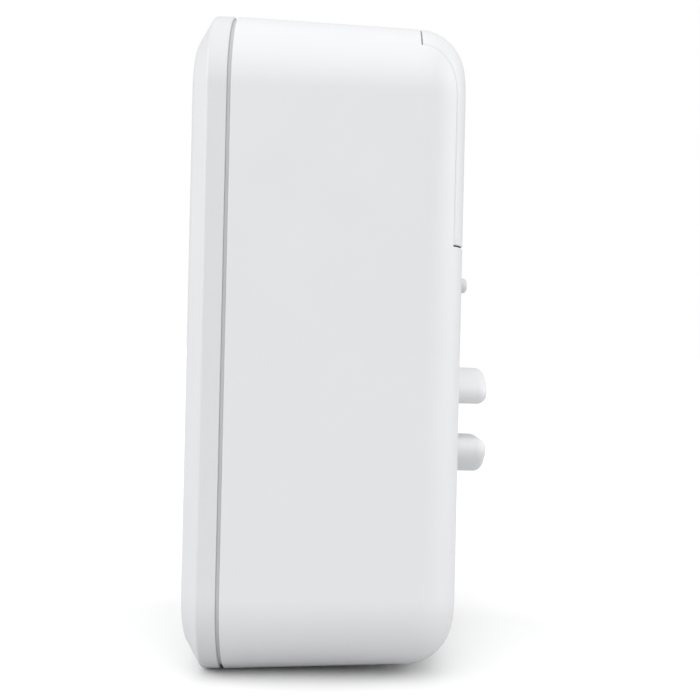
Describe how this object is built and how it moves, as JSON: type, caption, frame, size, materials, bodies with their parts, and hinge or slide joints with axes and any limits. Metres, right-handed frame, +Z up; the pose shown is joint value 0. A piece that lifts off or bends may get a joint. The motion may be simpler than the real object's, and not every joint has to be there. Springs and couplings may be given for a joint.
{
  "type": "video doorbell",
  "caption": "Battery video doorbell: deep rounded housing, bevelled front cover with camera, motion lens and bell button, hinged battery door, slotted spigot for a wall plate.",
  "frame": {"origin": "on the wall spigot's axis, in the plane of the flat rear face", "axes": "+Z up along the height, +Y out of the rear face towards the wall, so the front with the camera and bell button faces -Y, and X is the width"},
  "size_m": [0.066, 0.0517, 0.11],
  "materials": {
    "shell_white": "fine satin texture, moulded",
    "button_white": "satin",
    "seal_grey": "soft matt rubber",
    "plug_white": "soft matt rubber",
    "window_black": "polished, dark tinted",
    "lens_black": "matt",
    "lens_glass": "coated, clear",
    "board_green": "solder mask over glass fibre",
    "led_clear": "clear epoxy",
    "pir_white": "translucent polyethylene",
    "can_steel": "tinned",
    "gold_can": "gold plated",
    "ring_clear": "frosted light guide",
    "membrane_grey": "silicone",
    "part_black": "matt",
    "cone_black": "thin film",
    "magnet_steel": "nickel plated",
    "frame_grey": "moulded",
    "lead_red": "soft insulation",
    "lead_black": "soft insulation",
    "connector_ivory": "moulded",
    "screw_steel": "zinc plated",
    "cell_sleeve": "shrink sleeve over a metal can",
    "contact_nickel": "nickel plated",
    "pad_grey": "closed-cell foam",
    "plunger_grey": "satin acetal",
    "ribbon_amber": "polyimide film"
  },
  "bodies": {
    "housing": {"antenna_board": "board_green", "antenna_cable": "lead_black", "battery_cradle": "frame_grey", "battery_leads": "lead_red", "bell_switch": "can_steel", "board_chips": "part_black", "board_connectors": "connector_ivory", "board_screws": "screw_steel", "button_membrane": "membrane_grey", "camera_window": "window_black", "cell_1": "cell_sleeve", "cell_2": "cell_sleeve", "cell_3": "cell_sleeve", "cell_4": "cell_sleeve", "contact_plates": "contact_nickel", "contact_springs": "contact_nickel", "cradle_seal": "seal_grey", "front_cover": "shell_white", "hinge_pins": "screw_steel", "housing_screws": "screw_steel", "housing_seal": "seal_grey", "ir_board": "board_green", "ir_leds": "led_clear", "lens_barrel": "lens_black", "lens_glass": "lens_glass", "lens_holder": "lens_black", "light_ring": "ring_clear", "main_board": "board_green", "mic_boot": "seal_grey", "microphone": "gold_can", "mount_spigot": "shell_white", "pir_lens": "pir_white", "pir_sensor": "can_steel", "rear_board": "board_green", "rear_board_screws": "screw_steel", "rear_housing": "shell_white", "rear_ribbon": "ribbon_amber", "reset_switch": "can_steel", "ring_leds": "led_clear", "screw_plugs": "plug_white", "sensor_board": "board_green", "shield_can": "can_steel", "speaker_chamber": "frame_grey", "speaker_cone": "cone_black", "speaker_frame": "part_black", "speaker_gasket": "seal_grey", "speaker_leads": "lead_red", "speaker_magnet": "magnet_steel", "spigot_seal": "seal_grey", "tamper_spring": "contact_nickel", "tamper_switch": "part_black"},
    "bell_button": {"bell_button": "button_white", "switch_plunger": "part_black"},
    "battery_door": {"battery_door": "shell_white", "cell_pad": "pad_grey"},
    "tamper_plunger": {"tamper_plunger": "plunger_grey"},
    "reset_button": {"reset_button": "plunger_grey"}
  },
  "joints": [
    {"name": "bell_press", "type": "slide", "parent": "housing", "child": "bell_button", "axis": [0, 1, 0], "range_m": [0, 0.0006], "stiffness_N_per_m": 2500, "springref_m": -0.0002, "deforming": ["button_membrane"]},
    {"name": "door_hinge", "type": "hinge", "parent": "housing", "child": "battery_door", "pos_m": [0, -0.0015, 0.0282], "axis": [-1, 0, 0], "range_deg": [0, 90]},
    {"name": "tamper_press", "type": "slide", "parent": "housing", "child": "tamper_plunger", "axis": [0, -1, 0], "range_m": [0, 0.002], "stiffness_N_per_m": 400, "springref_m": -0.002, "deforming": ["tamper_spring"]},
    {"name": "reset_press", "type": "slide", "parent": "housing", "child": "reset_button", "axis": [0, -1, 0], "range_m": [0, 0.0004], "stiffness_N_per_m": 2500, "springref_m": -0.0002}
  ]
}
